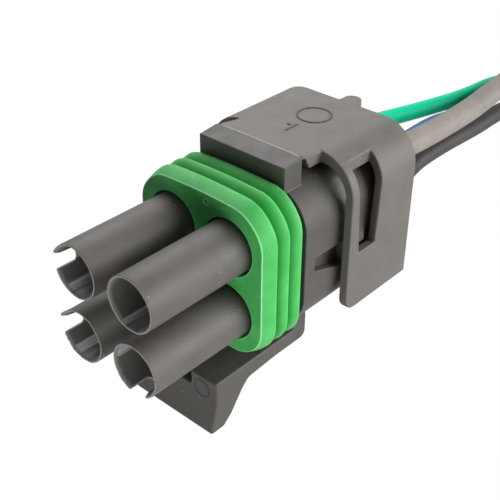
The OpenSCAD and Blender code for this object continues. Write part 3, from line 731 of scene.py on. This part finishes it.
# low marks that the mould leaves: a thin ring and a bar with a serif on the roof, a ring on the arm's lip and
# a small one on the seal's face; the last row counts points
marks = {"roofRing": {"centre": (-0.2, 19.4, 11.15), "radius": 2.0, "line": 0.15, "height": 0.10},
         "roofBar": {"centre": (-0.1, 15.2, 11.15), "length": 2.4, "width": 0.34, "height": 0.10},
         "roofSerif": {"centre": (-0.82, 15.55, 11.15), "length": 0.26, "width": 0.55, "height": 0.10},
         "lipRing": {"centre": (3.93, -4.2, -12.75), "radius": 1.1, "line": 0.13, "height": 0.08},
         "gateRing": {"centre": (1.1, 0.0, 8.45), "radius": 0.36, "line": 0.06, "height": 0.05},
         "sunk": 0.02, "sideCurve": 0.4, "topCurve": 0.5, "sharp": 60,
         "around": 72, "section": 12, "barAround": 48, "barRise": 6}


def ringMark(mark):
    # a flat round bead: half an ellipse carried round a circle, closed underneath
    around, turn = fullTurn(marks["around"]), fullTurn(marks["section"])
    r = mark["radius"] + mark["line"] * np.cos(turn)[None]
    up = np.maximum(mark["height"] * np.sin(turn), -marks["sunk"])[None]
    points = np.stack([r * np.cos(around)[:, None], r * np.sin(around)[:, None],
                       np.broadcast_to(up, (len(around), len(turn)))], -1).reshape(-1, 3)
    return points, gridFaces(len(around) + 1, len(turn)) % len(points)


def barMark(mark):
    # a low loaf: superellipse rings that shrink as they rise
    around = fullTurn(marks["barAround"])
    rise = np.linspace(0, math.pi / 2, marks["barRise"])
    curve, sunk = marks["sideCurve"], marks["sunk"]
    x = np.sign(np.cos(around)) * np.abs(np.cos(around)) ** curve * mark["width"] / 2
    y = np.sign(np.sin(around)) * np.abs(np.sin(around)) ** curve * mark["length"] / 2
    share = np.concatenate([[0.001], np.cos(rise) ** marks["topCurve"] + 0.001])[:, None]
    up = np.concatenate([[-sunk], np.sin(rise) * (mark["height"] + sunk) - sunk])[:, None]
    points = np.stack([x * share, y * share, np.broadcast_to(up, (len(up), len(around)))], -1)
    return points.reshape(-1, 3), gridFaces(len(up), len(around))


# the marks' dark nylon is a painted shade
def makeMark(name, body, material=nylonMarkShaded, slot="black_plastic"):
    # lying flat on the cover's roof, or stood up on the lip and on the seal's face
    mark = marks[name]
    points, faces = ringMark(mark) if "radius" in mark else barMark(mark)
    if body != "cover":
        points = points[:, [0, 2, 1]] * (1, -1, 1)
    points = points + np.array(mark["centre"]) + datum
    makePiece(name, points, faces, material, slot, body, sharp=marks["sharp"])


for name in ("roofRing", "roofBar", "roofSerif"):
    makeMark(name, "cover")
makeMark("lipRing", "arm")
makeMark("gateRing", "connector", markSilicone, "green_silicone")
print("marks made")


def dress(node, material):
    # the finish of a piece that keeps its solid
    for slot in nodes[node].material_slots:
        slot.material = material


for name in leadNames:
    dress("terminal_" + name, tinnedBrass)
    dress("cable_seal_" + name, graySilicone if name == "gray" else greenSilicone)


# white tent: levels of the world and the floor, and each lamp's place, target and width in metres, and power
studio = {"world": 0.03, "backdrop": 1.05, "floorHalf": 3, "floorTone": (0.4, 0.4, 0.4, 1), "floorShare": 0.95,
          "floorGlow": 1.05,
          "top": ((-0.36, 0.32, 0.50), (0, 0, 0.015), 0.50, 3.4),
          "right": ((0.57, 0.32, 0.14), (0, 0, 0.015), 0.66, 8.6),
          "low": ((0.02, -0.07, 0.007), (0, -0.012, 0.010), 0.03, 0.021)}
white = (1, 1, 1, 1)


def backgroundRays(tree):
    # 1 on the rays that see the background straight, in a gloss or through a clear piece, and 0 on the others
    path = addNode(tree, "ShaderNodeLightPath").outputs
    indirect = maths(tree, "MAXIMUM", path["Is Glossy Ray"], path["Is Transmission Ray"])
    return maths(tree, "MAXIMUM", path["Is Camera Ray"], indirect)


def makeWorld():
    # a weak even light, which those rays see as white
    world = bpy.data.worlds.new("studioWorld")
    world.use_nodes = True
    tree = world.node_tree
    background = tree.nodes["Background"]
    strength = remap(tree, backgroundRays(tree), 0.0, 1.0, (studio["world"], studio["backdrop"]))
    tree.links.new(strength, background.inputs["Strength"])
    background.inputs["Color"].default_value = white
    bpy.context.scene.world = world


def makeFloor():
    # a square of matt paper, mixed with a white glow for those rays, so that the object's shadow stays faint
    half = studio["floorHalf"]
    mesh = bpy.data.meshes.new("studioFloor")
    corners = [(-half, -half, 0), (half, -half, 0), (half, half, 0), (-half, half, 0)]
    mesh.from_pydata(corners, [], [(0, 1, 2, 3)])
    floor = bpy.data.objects.new("studioFloor", mesh)
    bpy.context.scene.collection.objects.link(floor)
    paper = bpy.data.materials.new("paper")
    paper.use_nodes = True
    tree = paper.node_tree
    tree.nodes.remove(tree.nodes["Principled BSDF"])
    matt = addNode(tree, "ShaderNodeBsdfDiffuse", None, {"Color": studio["floorTone"]})
    glow = addNode(tree, "ShaderNodeEmission", None, {"Color": white, "Strength": studio["floorGlow"]})
    share = maths(tree, "MULTIPLY", backgroundRays(tree), studio["floorShare"])
    mix = addNode(tree, "ShaderNodeMixShader", None, {0: share, 1: matt.outputs[0], 2: glow.outputs[0]})
    tree.links.new(mix.outputs[0], tree.nodes["Material Output"].inputs["Surface"])
    mesh.materials.append(paper)


def makeLamp(name, place, target, size, power):
    # a round soft lamp that looks from its place to its target
    light = bpy.data.lights.new(name, "AREA")
    light.shape, light.size, light.energy = "DISK", size, power
    made = bpy.data.objects.new(name, light)
    made.location = place
    made.rotation_euler = (Vector(target) - Vector(place)).to_track_quat("-Z", "Y").to_euler()
    made.visible_camera = False
    bpy.context.scene.collection.objects.link(made)


bpy.context.scene.view_settings.view_transform = "Standard"
makeWorld()
makeFloor()
for lamp in ("top", "right", "low"):
    makeLamp(lamp + "Lamp", *studio[lamp])
print("studio lit")
